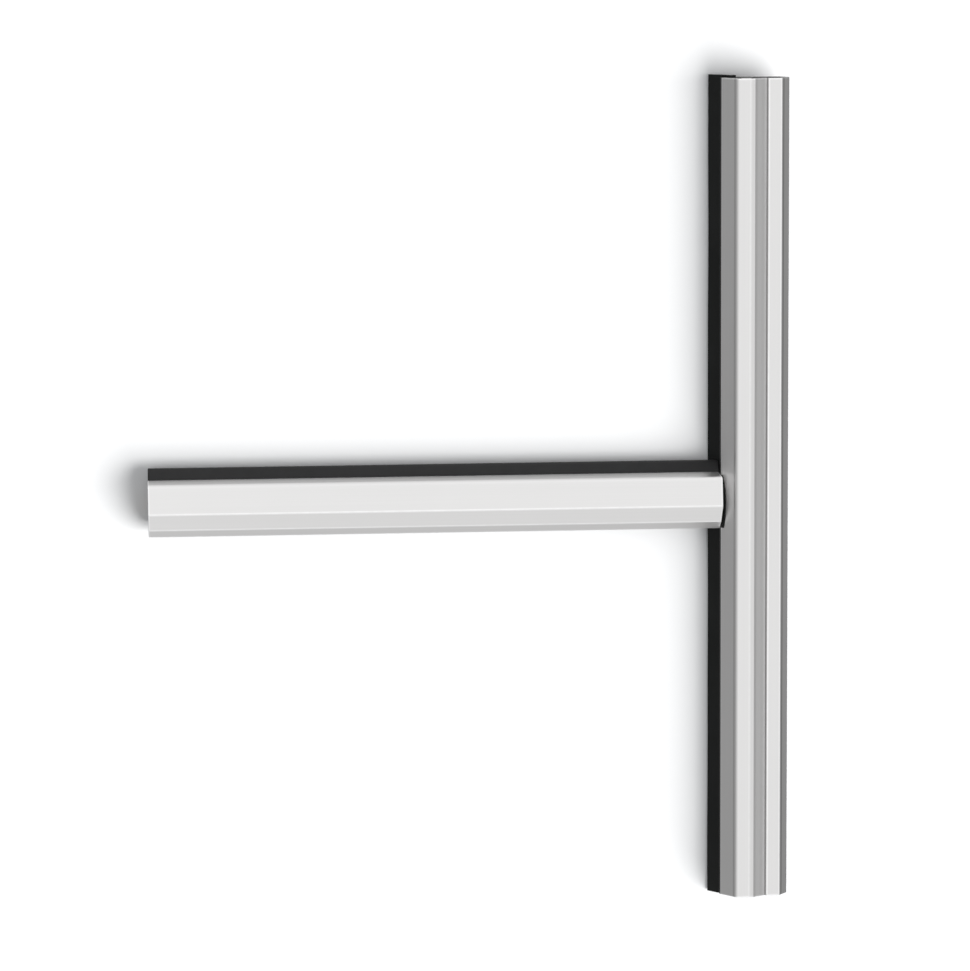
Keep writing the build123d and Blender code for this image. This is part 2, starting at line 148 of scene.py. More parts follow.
# The grip: across from the handle's middle, up from the resting surface. Its floor stands inside the ribs.
GRIP_FLOOR = 0.55
GRIP_SECTION = [
    (6.60, 7.90, 0.15),
    (9.75, 7.90, 0.30),
    (9.75, 3.60, 1.60),
    (6.40, GRIP_FLOOR, 1.20),
    (-6.70, GRIP_FLOOR, 1.20),
    (-10.10, 3.95, 1.60),
    (-10.10, 9.90, 0.30),
    (-6.60, 9.90, 0.15),
    (-6.60, 3.50, 0.30),
    (6.60, 3.50, 0.30),
]
# The blade: along from the bead's centre towards the edge, across towards the handle.
BLADE_ANGLE = math.radians(42)
BEAD_X, BEAD_Z = 3.9, 6.9  # the bead's centre, from the head's rim and from the glass
BEAD_RADIUS = 1.75
BLADE_REACH = 9.48
LIP_START = 3.15
JAW = 3.2  # as much of the blade as the head's jaw holds straight
HALF_LIP = [
    (0.70, BEAD_RADIUS, 0.90),
    (1.40, 0.85, 0.15),
    (LIP_START, 0.85, 0.10),
    (LIP_START, 1.30, 0.12),
    (BLADE_REACH, 0.75, 0.06),
]
BLADE_SECTION = [(along, -across, radius) for along, across, radius in reversed(HALF_LIP)]
BLADE_SECTION += [(-BEAD_RADIUS, -BEAD_RADIUS, 1.70), (-BEAD_RADIUS, BEAD_RADIUS, 1.70), *HALF_LIP]

# ---------------------------------------------------------------- the studio
CAMERA_PLACE = (-0.0935, 0.2440, 1.5886)
CAMERA_TURN = (-8.618, -3.652, -0.370)  # degrees
CAMERA_LENS, SENSOR_WIDTH = 163.79, 36.0  # mm
FLOOR_HALF = 3.0
FLOOR_CORNERS = ((-1, -1), (1, -1), (1, 1), (-1, 1))
FLOOR_DROP = 0.05 * MM  # below the glass side, so the two never share a plane


# ================================================================ shader values as Python expressions
class Wire:
    """A shader socket that takes part in sums, so that 1 - mask adds its own Math node."""

    def __init__(self, socket):
        self.socket = socket

    def _math(self, operation, first, second):
        kind = "ShaderNodeVectorMath" if self.socket.type == "VECTOR" else "ShaderNodeMath"
        return Shader(self.socket.id_data).node(kind, {"operation": operation}, {0: first, 1: second})

    def __add__(self, other):
        return self._math("ADD", self, other)

    __radd__ = __add__

    def __sub__(self, other):
        return self._math("SUBTRACT", self, other)

    def __rsub__(self, other):
        return self._math("SUBTRACT", other, self)

    def __mul__(self, other):
        return self._math("MULTIPLY", self, other)

    __rmul__ = __mul__

    def __pow__(self, other):
        return self._math("POWER", self, other)


class Shader:
    """Adds nodes to one node tree."""

    def __init__(self, tree):
        self.tree = tree

    def node(self, kind, settings=None, values=None, output=0):
        """One node: its settings first, then the numbers or wires of its sockets.

        Returns an output's wire, or several when output is a tuple of names, or the node if it has none.
        """
        made = self.tree.nodes.new(kind)
        for key, value in (settings or {}).items():
            if key == "stops":
                self._stops(made.color_ramp.elements, value)
            else:
                setattr(made, key, value)
        for key, value in (values or {}).items():
            if isinstance(value, Wire):
                self.tree.links.new(value.socket, made.inputs[key])
            else:
                made.inputs[key].default_value = value
        if not made.outputs:
            return made
        if isinstance(output, tuple):
            return tuple(Wire(made.outputs[name]) for name in output)
        return Wire(made.outputs[output])

    @staticmethod
    def _stops(elements, stops):
        while len(elements) < len(stops):
            elements.new(1.0)
        for element, (place, level) in zip(elements, stops):
            element.position = place
            element.color = (level, level, level, 1)

    def along(self, scale):
        """Object coordinates, multiplied along each axis."""
        place = self.node("ShaderNodeTexCoord", output="Object")
        return self.node("ShaderNodeMapping", {}, {"Vector": place, "Scale": scale})

    def noise(self, scale, detail=2.0, rough=0.5):
        """Noise from 0 to 1, with as many features a metre along each axis as scale says."""
        values = {"Vector": self.along(scale), "Scale": 1.0, "Detail": detail, "Roughness": rough}
        return self.node("ShaderNodeTexNoise", {"noise_dimensions": "3D"}, values)

    def ramp(self, value, *stops):
        return self.node("ShaderNodeValToRGB", {"stops": stops}, {0: value})

    def blend(self, factor, first, second):
        """From the first colour to the second as the factor goes from 0 to 1."""
        first, second = (each if isinstance(each, Wire) else (*each[:3], 1) for each in (first, second))
        # a colour mix takes its colours in sockets 6 and 7 and gives them in output 2
        return self.node("ShaderNodeMix", {"data_type": "RGBA"}, {0: factor, 6: first, 7: second}, 2)

    def bump(self, height, strength, distance):
        return self.node("ShaderNodeBump", {}, {"Height": height, "Strength": strength, "Distance": distance})


def new_material(name):
    """An empty material and its shader."""
    material = bpy.data.materials.new(name)
    material.use_nodes = True
    material.node_tree.nodes.clear()
    return material, Shader(material.node_tree)


def surface(material, shader, values):
    """Ends a material in one Principled BSDF."""
    bsdf = shader.node("ShaderNodeBsdfPrincipled", {}, values)
    shader.node("ShaderNodeOutputMaterial", {}, {"Surface": bsdf})
    return material


def grey(level):
    return (level, level, level, 1)


def shade(colour, times, plus=0.0):
    """A colour made paler or darker."""
    return tuple(min(1.0, times * part + plus) for part in colour)


# ================================================================ finishes
def scaled(length_axis, across, along):
    """Features a metre: one number along the length axis and another across it."""
    return tuple(along if axis == length_axis else across for axis in "XYZ")


def anodised_aluminium(length_axis, tone):
    """Satin anodised extrusion: die lines along its length, fine grain, painted highlights with some scuffing
    on rounded edges and cut ends, painted shade in creases.
    """
    finish = bpy.context.scene.squeegee_finish
    material, shader = new_material(f"anodised_aluminium_{length_axis.lower()}")
    fine_lines = shader.noise(scaled(length_axis, 4200, 9), 3.0, 0.6)
    broad_lines = shader.noise(scaled(length_axis, 700, 3), 2.0)
    grain = shader.noise((16000, 16000, 16000), 2.0)
    clouds = shader.noise((24, 24, 24), 3.0)
    edge = shader.node("ShaderNodeAttribute", {"attribute_name": "edge"}, output="Fac")
    crease = shader.node("ShaderNodeAttribute", {"attribute_name": "crease"}, output="Fac")
    scuffs = shader.ramp(shader.noise((420, 420, 420), 4.0, 0.65), (0.40, 0.0), (0.62, 1.0))
    rubbed_and_highlight = edge * (0.75 + 0.25 * scuffs)
    # a tone below 1 paints shade into this copy of the aluminium
    light = shade(finish.metal_colour, tone)
    pattern = 0.45 * fine_lines + 0.25 * broad_lines + 0.30 * clouds
    colour = shader.blend(shader.ramp(pattern, (0.35, 0.0), (0.65, 1.0)), shade(light, 0.96), light)
    # painted highlight: rounded edges and cut ends made paler, with some scuffing
    colour = shader.blend(rubbed_and_highlight, colour, shade(light, 1.22))
    # painted shade: inward corners and grooves made darker
    colour = shader.blend(0.85 * crease, colour, shade(light, 0.45))
    roughness = finish.metal_roughness + 0.08 * (fine_lines - 0.5) + 0.08 * (grain - 0.5) - 0.06 * rubbed_and_highlight
    height = 0.6 * fine_lines + 0.25 * broad_lines + 0.15 * grain
    values = {
        "Base Color": colour,
        "Metallic": 1.0,
        "Roughness": roughness,
        "Normal": shader.bump(height, 0.18, 0.00004),
    }
    return surface(material, shader, values)


def rubber(name, colour, roughness, texture, shine):
    """Black rubber: a slightly uneven skin, faint bloom and a fine texture."""
    material, shader = new_material(name)
    bloom = shader.ramp(shader.noise((55, 55, 55), 4.0, 0.6), (0.40, 0.0), (0.75, 1.0))
    skin = shader.noise((texture, texture, texture), 3.0, 0.55)
    swell = shader.noise((260, 260, 260), 2.0)
    specks = shader.ramp(shader.noise((2600, 2600, 2600), 1.0), (0.70, 0.0), (0.76, 1.0))
    values = {
        "Base Color": shader.blend(0.6 * bloom + 0.25 * specks, colour, shade(colour, 1.6, 0.004)),
        "Roughness": roughness + 0.14 * (swell - 0.5) + 0.10 * bloom,
        "Specular IOR Level": shine,
        "Normal": shader.bump(0.7 * skin + 0.3 * swell, 0.35, 0.00005),
    }
    return surface(material, shader, values)


def moulded_nylon(name, colour):
    """Glass-filled nylon: spark-eroded mould grain with polished high spots."""
    material, shader = new_material(name)
    grain = shader.noise((3800, 3800, 3800), 3.0, 0.6)
    flow = shader.noise((90, 30, 90), 3.0)
    polished = shader.ramp(shader.noise((160, 160, 160), 4.0, 0.6), (0.58, 0.0), (0.75, 1.0))
    values = {
        "Base Color": shader.blend(0.5 * flow + 0.3 * polished, colour, shade(colour, 1.5, 0.003)),
        "Roughness": 0.58 + 0.16 * (grain - 0.5) - 0.12 * polished,
        "Normal": shader.bump(grain, 0.45, 0.00005),
    }
    return surface(material, shader, values)


def turned_metal(name, colour, roughness, rings):
    """Turned or drawn metal: fine tool rings, light scratches and a little tarnish."""
    material, shader = new_material(name)
    marks = shader.noise((rings, rings, rings), 2.0, 0.7)
    scratches = shader.ramp(shader.noise((5200, 300, 5200), 2.0), (0.62, 0.0), (0.70, 1.0))
    tarnish = shader.ramp(shader.noise((420, 420, 420), 4.0, 0.6), (0.45, 0.0), (0.80, 1.0))
    values = {
        "Base Color": shader.blend(tarnish, colour, shade(colour, 0.66)),
        "Metallic": 1.0,
        "Roughness": roughness + 0.12 * (marks - 0.5) + 0.16 * tarnish + 0.08 * scratches,
        "Normal": shader.bump(0.6 * marks + 0.4 * scratches, 0.25, 0.00003),
    }
    return surface(material, shader, values)


def studio_floor():
    """A matt pale board with a faint paper tooth. It is clear from below, so it never hides the underside."""
    material, shader = new_material("studio_floor")
    tooth = shader.noise((900, 900, 900), 2.0)
    tone = shader.blend(tooth, grey(0.895), grey(0.905))
    board = shader.node("ShaderNodeBsdfDiffuse", {}, {"Color": tone})
    clear = shader.node("ShaderNodeBsdfTransparent")
    below = shader.node("ShaderNodeNewGeometry", output="Backfacing")
    mixed = shader.node("ShaderNodeMixShader", {}, {0: below, 1: board, 2: clear})
    shader.node("ShaderNodeOutputMaterial", {}, {"Surface": mixed})
    return material


# ================================================================ mesh work
def rounded(section, steps=6):
    """An outline in metres from (across, up, radius) corners, with the side beside each round held flat.

    Returns the points and, for each, how much painted light it carries: above 0 on an outward round, a painted
    highlight with some rubbing, below 0 on an inward one, painted shade, and 0 on a flat.
    """
    least = 0.01  # of a round's reach along a side, and of a turn in radians
    hold, near = 0.5, 0.4  # mm of each side held flat, where there is room, and the share of it that carries the painted highlight or shade in full
    corners = [Vector(each[:2]) for each in section]
    radii = [each[2] for each in section]
    shows = [each[3] if len(each) > 3 else 1.0 for each in section]
    count = len(section)
    area = sum(corners[i - 1].cross(corners[i]) for i in range(count))
    sides = [corners[(i + 1) % count] - corners[i] for i in range(count)]
    turns = [sides[i - 1].angle_signed(sides[i]) for i in range(count)]
    wanted = [max(least, radii[i] * math.tan(abs(turns[i]) / 2)) for i in range(count)]
    reaches = []
    for i in range(count):
        rooms = []
        for side, other in ((sides[i - 1], wanted[i - 1]), (sides[i], wanted[(i + 1) % count])):
            both = 0.94 * side.length  # what a side's two rounds may take of it together
            rooms.append(max(both / 2, both - other))
        reaches.append(min(wanted[i], *rooms))
    points, edges = [], []
    for i in range(count):
        back, on = -sides[i - 1].normalized(), sides[i].normalized()
        reach = reaches[i]
        bend = max(least, abs(turns[i]))
        radius = reach / math.tan(bend / 2)
        middle = corners[i] + (back + on).normalized() * math.hypot(reach, radius)
        # above 0: a painted highlight on an outward round; below 0: painted shade in an inward corner
        outward = shows[i] if turns[i] * area < 0 else -shows[i]
        flats = []
        for side, other in ((sides[i - 1], reaches[i - 1]), (sides[i], reaches[(i + 1) % count])):
            flats.append(max(0.002, min(hold, 0.45 * (side.length - reach - other))))
        start, end = corners[i] + back * reach, corners[i] + on * reach
        spread = (start - middle).angle_signed(end - middle)
        points += [start + back * flats[0], start + back * near * flats[0]]
        edges += [0.0, outward]
        for k in range(steps + 1):
            arm = start - middle
            arm.rotate(Matrix.Rotation(-spread * k / steps, 2))
            points.append(middle + arm)
            edges.append(outward)
        points += [end + on * near * flats[1], end + on * flats[1]]
        edges += [outward, 0.0]
    return [point * MM for point in points], edges


def inset(points, amount):
    """The outline moved inwards by a small amount."""
    area = sum(a.cross(b) for a, b in zip(points, points[1:] + points[:1]))
    side = 1 if area > 0 else -1
    moved = []
    for i, point in enumerate(points):
        run = points[(i + 1) % len(points)] - points[i - 1]
        moved.append(point + side * amount * Vector((-run.y, run.x)).normalized())
    return moved


def add_prism(mesh, outline, edges, stations, place, edge_radius=0.12 * MM):
    """Adds a closed prism to a bmesh.

    stations are distances along it, and place(across, up, distance) gives a point. Its two end faces
    have a small round, as a saw-cut end that has been deburred, and carry a painted highlight, with some
    rubbing, for a little way in.
    """
    floats = mesh.verts.layers.float
    rubbed_and_highlight = floats.get("edge") or floats.new("edge")
    crease = floats.get("crease") or floats.new("crease")
    tight = inset(outline, edge_radius)
    middle = inset(outline, 0.3 * edge_radius)
    # from an end face inwards: the outline, how many edge radii in, and the painted highlight, with some
    # rubbing, that the ring carries
    end = ((tight, 0, 1.0), (middle, 0.3, 1.0), (outline, 1, 1.0), (outline, 3.5, 1.0), (outline, 5, 0.0))
    first, last = stations[0], stations[-1]
    rings = [(shape, first + reach * edge_radius, end_rubbed_and_highlight) for shape, reach, end_rubbed_and_highlight in end]
    rings += [(outline, at, 0.0) for at in stations[1:-1]]
    rings += [(shape, last - reach * edge_radius, end_rubbed_and_highlight) for shape, reach, end_rubbed_and_highlight in reversed(end)]
    made = []
    for shape, at, end_rubbed_and_highlight in rings:
        ring = []
        for point, edge in zip(shape, edges):
            vert = mesh.verts.new(place(point.x, point.y, at))
            # painted highlight on rounds and cut ends; painted shade in inward corners, below
            vert[rubbed_and_highlight] = max(end_rubbed_and_highlight, edge)
            vert[crease] = max(0.0, -edge)
            ring.append(vert)
        made.append(ring)
    count = len(outline)
    for low, high in zip(made, made[1:]):
        for i in range(count):
            mesh.faces.new((low[i], low[(i + 1) % count], high[(i + 1) % count], high[i]))
    for ring in (made[0], made[-1]):
        cap = mesh.faces.new(ring)
        bmesh.ops.triangulate(mesh, faces=[cap], ngon_method="EAR_CLIP")


def spaced(low, high, pitch):
    """Stations from low to high, about a pitch apart."""
    count = max(2, round(abs(high - low) / pitch))
    return [low + (high - low) * i / count for i in range(count + 1)]


def to_data(mesh, name):
    """Turns a bmesh into mesh data, with its faces outward."""
    bmesh.ops.recalc_face_normals(mesh, faces=mesh.faces)
    data = bpy.data.meshes.new(name)
    mesh.to_mesh(data)
    mesh.free()
    return data


def smooth(data, angle):
    """Shades a mesh smooth, except across edges sharper than an angle in degrees."""
    for face in data.polygons:
        face.use_smooth = True
    data.set_sharp_from_angle(angle=math.radians(angle))
    return data


def new_piece(name, data):
    piece = bpy.data.objects.new(name, data)
    bpy.context.scene.collection.objects.link(piece)
    return piece


def worked(piece):
    """The piece's mesh with its modifiers worked in."""
    return bpy.data.meshes.new_from_object(piece.evaluated_get(bpy.context.evaluated_depsgraph_get()))


def settle(piece, material, body, nodes):
    """Gives a piece its material, in its one material slot, and its body, and hides the CAD nodes it stands
    for.
    """
    piece.data.materials.clear()
    piece.data.materials.append(material)
    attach(piece, body)
    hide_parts(*nodes)


def finish_mesh(name, mesh, material, body, nodes):
    """Turns a bmesh into a piece that rides on a body and stands for CAD nodes."""
    settle(new_piece(name, smooth(to_data(mesh, name), 32)), material, body, nodes)


def node_mesh(node):
    """A merged copy of a CAD node's mesh, with its flat faces made whole."""
    mesh = bmesh.new()
    mesh.from_mesh(frame["nodes"][node].data)
    bmesh.ops.remove_doubles(mesh, verts=mesh.verts, dist=0.002 * MM)
    bmesh.ops.dissolve_limit(
        mesh, angle_limit=math.radians(1.0), verts=mesh.verts, edges=mesh.edges, use_dissolve_boundaries=False
    )
    return mesh


def soften(node, material, radius):
    """A piece with a CAD node's shape and small rounds along its edges."""
    name = f"{node}_finished"
    data = bpy.data.meshes.new(name)
    mesh = node_mesh(node)
    mesh.to_mesh(data)
    mesh.free()
    piece = new_piece(name, data)
    rounds = piece.modifiers.new("rounds", "BEVEL")
    rounds.width = radius
    rounds.segments = 3
    rounds.limit_method = "ANGLE"
    rounds.angle_limit = math.radians(24)
    rounds.use_clamp_overlap = True
    rounds.harden_normals = False
    rounds.miter_outer = "MITER_ARC"
    shaped = worked(piece)
    piece.modifiers.clear()
    piece.data = smooth(shaped, 34)
    settle(piece, material, frame["nodes"][node]["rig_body"], [node])


# ================================================================ geometry nodes
def row_tree():
    """A node tree that sets copies of its own geometry along a line, each turned a little differently."""
    tree = bpy.data.node_groups.get("row_of_copies")
    if tree:
        return tree
    tree = bpy.data.node_groups.new("row_of_copies", "GeometryNodeTree")
    add = tree.interface.new_socket
    add(name="Geometry", in_out="INPUT", socket_type="NodeSocketGeometry")
    add(name="Count", in_out="INPUT", socket_type="NodeSocketInt").default_value = 2
    add(name="Start", in_out="INPUT", socket_type="NodeSocketVector")
    add(name="Step", in_out="INPUT", socket_type="NodeSocketVector")
    add(name="Largest Turn", in_out="INPUT", socket_type="NodeSocketFloat")
    add(name="Seed", in_out="INPUT", socket_type="NodeSocketInt").default_value = 7
    add(name="Finish", in_out="INPUT", socket_type="NodeSocketMaterial")
    add(name="Geometry", in_out="OUTPUT", socket_type="NodeSocketGeometry")
    new, link = tree.nodes.new, tree.links.new
    given = new("NodeGroupInput").outputs
    line = new("GeometryNodeMeshLine")
    line.mode = "OFFSET"
    link(given["Count"], line.inputs["Count"])
    link(given["Start"], line.inputs["Start Location"])
    link(given["Step"], line.inputs["Offset"])
    turn = new("FunctionNodeRandomValue")
    turn.data_type = "FLOAT"
    link(given["Largest Turn"], turn.inputs["Max"])
    link(given["Seed"], turn.inputs["Seed"])
    spin = new("ShaderNodeCombineXYZ")
    link(turn.outputs["Value"], spin.inputs["Z"])
    copies = new("GeometryNodeInstanceOnPoints")
    link(line.outputs["Mesh"], copies.inputs["Points"])
    link(given["Geometry"], copies.inputs["Instance"])
    link(spin.outputs["Vector"], copies.inputs["Rotation"])
    real = new("GeometryNodeRealizeInstances")
    link(copies.outputs["Instances"], real.inputs["Geometry"])
    painted = new("GeometryNodeSetMaterial")
    link(real.outputs["Geometry"], painted.inputs["Geometry"])
    link(given["Finish"], painted.inputs["Material"])
    link(painted.outputs["Geometry"], new("NodeGroupOutput").inputs["Geometry"])
    return tree


def row_of(name, unit, count, start, step, material, largest_turn=0.0):
    """Copies of a unit mesh, set out by the node tree and made into one plain mesh object."""
    piece = new_piece(name, unit)
    tree = row_tree()
    row = piece.modifiers.new("row", "NODES")
    row.node_group = tree
    wanted = {
        "Count": count,
        "Start": tuple(start),
        "Step": tuple(step),
        "Largest Turn": largest_turn,
        "Seed": bpy.context.scene.squeegee_sizes.seed,
        "Finish": material,
    }
    for socket in tree.interface.items_tree:
        if socket.in_out == "INPUT" and socket.name in wanted:
            row[socket.identifier] = wanted[socket.name]
    piece.update_tag()
    bpy.context.view_layer.update()
    shaped = worked(piece)
    piece.modifiers.clear()
    piece.data = shaped
    if len(shaped.polygons) < count:
        raise RuntimeError(f"the row {name} came out empty")
    return piece


# ================================================================ unit shapes
def lathe(mesh, profile, steps=40):
    """Revolves (radius, height) points about Z. The first and last lie on the axis."""
    rings = []
    for radius, height in profile:
        if radius == 0:
            rings.append([mesh.verts.new((0, 0, height))])
            continue
        ring = []
        for k in range(steps):
            angle = 2 * math.pi * k / steps
            ring.append(mesh.verts.new((radius * math.cos(angle), radius * math.sin(angle), height)))
        rings.append(ring)
    for low, high in zip(rings, rings[1:]):
        for k in range(steps):
            after = (k + 1) % steps
            corners = [low[k % len(low)], low[after % len(low)], high[after % len(high)], high[k % len(high)]]
            mesh.faces.new(list(dict.fromkeys(corners)))  # a corner on the axis comes once


def cut(body, cutter, name):
    """The body mesh less the cutter mesh."""
    target, tool = new_piece(name, body), new_piece(f"{name}_tool", cutter)
    away = target.modifiers.new("recess", "BOOLEAN")
    away.operation = "DIFFERENCE"
    away.solver = "EXACT"
    away.object = tool
    shaped = worked(target)
    for each in (target, tool):
        bpy.data.objects.remove(each)
    if len(shaped.polygons) <= len(body.polygons):
        raise RuntimeError(f"the recess of the {name} was not cut")
    return shaped


def cross_recess(mesh):
    """Adds a closed prism with a cross section, which narrows as it goes in."""
    rings = []
    for arm, half, depth in ((1.45, 0.33, -0.2), (1.45, 0.33, 0.0), (0.62, 0.26, 1.15)):
        ring = []
        for quarter in range(4):
            turn = Matrix.Rotation(quarter * math.pi / 2, 2)
            for corner in ((arm, -half), (arm, half), (half, half)):
                ring.append(mesh.verts.new((*(turn @ Vector(corner) * MM), depth * MM)))
        rings.append(ring)
    for low, high in zip(rings, rings[1:]):
        for i in range(len(low)):
            after = (i + 1) % len(low)
            mesh.faces.new((low[i], low[after], high[after], high[i]))
    for ring in (rings[0], rings[-1]):
        mesh.faces.new(ring)


def screw_mesh(length):
    """A countersunk screw, its head's face at z = 0 and its point up, with a cross recess and a thread."""
    head, crest, root = 2.5 * MM, 1.43 * MM, 1.25 * MM  # radii
    rim, sink = 0.10 * MM, 1.30 * MM  # depths of the head's rim and of the whole head
    thread_from, thread_to, pitch = 1.9 * MM, length - 1.6 * MM, 0.8 * MM
    profile = [(0, 0), (head - rim, 0), (head, rim / 2), (head, rim), (root, sink)]
    for turn in range(math.ceil((thread_to - thread_from) / pitch)):
        for radius, share in ((root, 0), (crest, 0.32), (crest, 0.42), (root, 0.75)):
            profile.append((radius, thread_from + (turn + share) * pitch))
    profile += [(root, length - 1.0 * MM), (0.3 * MM, length - 0.1 * MM), (0, length)]
    blank, cross = bmesh.new(), bmesh.new()
    lathe(blank, profile)
    cross_recess(cross)
    return smooth(cut(to_data(blank, "screw_blank"), to_data(cross, "cross"), "screw"), 20)


def rib_mesh(width, length, height):
    """A low rounded bar across the grip, its crown down at z = 0. It shrinks towards its two ends."""
    mesh = bmesh.new()
    steps, half_count = 8, 5
    end_share = 0.55  # how wide its two ends are, of its middle
    late, flat = 6, 0.7  # powers: how late it shrinks, and how flat its crown is
    rings = []
    for i in range(2 * half_count + 1):
        along = -1 + i / half_count
        shrink = math.sqrt(max(0.0, 1 - abs(along) ** late))
        half_width = width / 2 * (end_share + (1 - end_share) * shrink)
        y = along * length / 2
        ring = []
        for k in range(steps + 1):
            angle = math.pi * k / steps
            z = height - height * math.sin(angle) ** flat * shrink
            ring.append(mesh.verts.new((-math.cos(angle) * half_width, y, z)))
        for x in (half_width, -half_width):
            ring.append(mesh.verts.new((x, y, height * 1.5)))
        rings.append(ring)
    count = len(rings[0])
    for low, high in zip(rings, rings[1:]):
        for k in range(count):
            mesh.faces.new((low[k], low[(k + 1) % count], high[(k + 1) % count], high[k]))
    for ring in (rings[0], rings[-1]):
        mesh.faces.new(ring)
    bmesh.ops.remove_doubles(mesh, verts=mesh.verts, dist=0.0001 * MM)
    return smooth(to_data(mesh, "rib"), 40)


# ================================================================ settings
class SqueegeeSizes(bpy.types.PropertyGroup):
    """Sizes that a user would change."""

    end_round: FloatProperty(
        name="End round",
        description="Round on the saw-cut ends of the two covers",
        default=0.12 * MM,
        min=0.02 * MM,
        max=0.4 * MM,
        subtype="DISTANCE",
        unit="LENGTH",
    )
    moulded_round: FloatProperty(
        name="Moulded round",
        description="Round along the edges of the moulded pieces",
        default=0.22 * MM,
        min=0.05 * MM,
        max=0.6 * MM,
        subtype="DISTANCE",
        unit="LENGTH",
    )
    blade_wave: FloatProperty(
        name="Blade wave",
        description="How far the rubber blade's edge strays from a straight line",
        default=0.16 * MM,
        min=0.0,
        max=0.5 * MM,
        subtype="DISTANCE",
        unit="LENGTH",
    )
    rib_pitch: FloatProperty(
        name="Rib pitch",
        description="Distance from one rib to the next under the grip",
        default=2.6 * MM,
        min=1.5 * MM,
        max=8 * MM,
        subtype="DISTANCE",
        unit="LENGTH",
    )
    seed: IntProperty(name="Seed", description="Which random turns the screws have", default=7, min=0)


class SqueegeeFinish(bpy.types.PropertyGroup):
    """Colours and roughness of the finishes."""

    metal_colour: FloatVectorProperty(
        name="Aluminium",
        description="Colour of the anodised covers",
        default=(0.875, 0.87, 0.867),
        min=0,
        max=1,
        size=3,
        subtype="COLOR",
    )
    metal_roughness: FloatProperty(
        name="Aluminium roughness",
        description="Roughness of the anodised covers",
        default=0.40,
        min=0.05,
        max=1,
        subtype="FACTOR",
    )
    rubber_colour: FloatVectorProperty(
        name="Rubber",
        description="Colour of the blade",
        default=(0.0034, 0.0042, 0.0040),
        min=0,
        max=1,
        size=3,
        subtype="COLOR",
    )
    grip_colour: FloatVectorProperty(
        name="Grip rubber",
        description="Colour of the grip and of the strip beside it",
        default=(0.0128, 0.0128, 0.0132),
        min=0,
        max=1,
        size=3,
        subtype="COLOR",
    )
    nylon_colour: FloatVectorProperty(
        name="Nylon",
        description="Colour of the moulded bodies",
        default=(0.016, 0.016, 0.017),
        min=0,
        max=1,
        size=3,
        subtype="COLOR",
    )


# ================================================================ operators
class SQUEEGEE_OT_finishes(bpy.types.Operator):
    """Makes every finish"""

    bl_idname = "squeegee.finishes"
    bl_label = "Finishes"

    def execute(self, context):
        finish = context.scene.squeegee_finish
        # the head's copy of the aluminium is painted darker than the handle's (0.96 against 1.0): painted
        # shade
        FINISHES["head_metal"] = anodised_aluminium("Y", 0.96)
        FINISHES["handle_metal"] = anodised_aluminium("X", 1.0)
        FINISHES["blade"] = rubber("blade_rubber", finish.rubber_colour, 0.42, 2600, 0.30)
        FINISHES["grip"] = rubber("grip_rubber", finish.grip_colour, 0.55, 5200, 0.36)
        FINISHES["nylon"] = moulded_nylon("black_nylon", finish.nylon_colour)
        FINISHES["white_nylon"] = moulded_nylon("white_nylon", (0.62, 0.62, 0.58))
        FINISHES["steel"] = turned_metal("stainless_steel", (0.60, 0.60, 0.61), 0.26, 5200)
        FINISHES["bronze"] = turned_metal("bronze", (0.56, 0.38, 0.17), 0.38, 3000)
        return {"FINISHED"}


class SQUEEGEE_OT_head_cover(bpy.types.Operator):
    """Makes the head's faceted aluminium cover"""

    bl_idname = "squeegee.head_cover"
    bl_label = "Head cover"

    def execute(self, context):
        outline, edges = rounded(HEAD_SECTION)
        mesh = bmesh.new()
        add_prism(
            mesh,
            outline,
            edges,
            spaced(head_low.y, head_high.y, 20 * MM),
            lambda across, up, at: Vector((RIM_X + across, at, RIM_Z + up)),
            context.scene.squeegee_sizes.end_round,
        )
        metal = FINISHES["head_metal"]
        finish_mesh("head_cover_finished", mesh, metal, "root", ["head_cover"])
        return {"FINISHED"}


class SQUEEGEE_OT_handle_cover(bpy.types.Operator):
    """Makes the handle's faceted aluminium cover"""

    bl_idname = "squeegee.handle_cover"
    bl_label = "Handle cover"

    def execute(self, context):
        outline, edges = rounded(HANDLE_SECTION)
        start, length = cover_low.x, COVER_END - cover_low.x

        def place(across, up, at):
            share = (at - start) / length
            slant = END_SLANT * (across / HANDLE_WIDTH - 0.5)
            lean = END_LEAN * max(0.0, up - LEAN_FROM) / (LEAN_TO - LEAN_FROM)
            return Vector((at + share * (slant + lean), UPPER_Y - across, RIM_Z + up))

        mesh = bmesh.new()
        stations = spaced(start, COVER_END, 20 * MM)
        add_prism(mesh, outline, edges, stations, place, context.scene.squeegee_sizes.end_round)
        rail, rail_edges = rounded(RAIL_SECTION)
        add_prism(mesh, rail, rail_edges, spaced(RAIL_START, RAIL_END, 30 * MM), place)
        metal = FINISHES["handle_metal"]
        finish_mesh("handle_cover_finished", mesh, metal, "handle", ["handle_cover"])
        return {"FINISHED"}


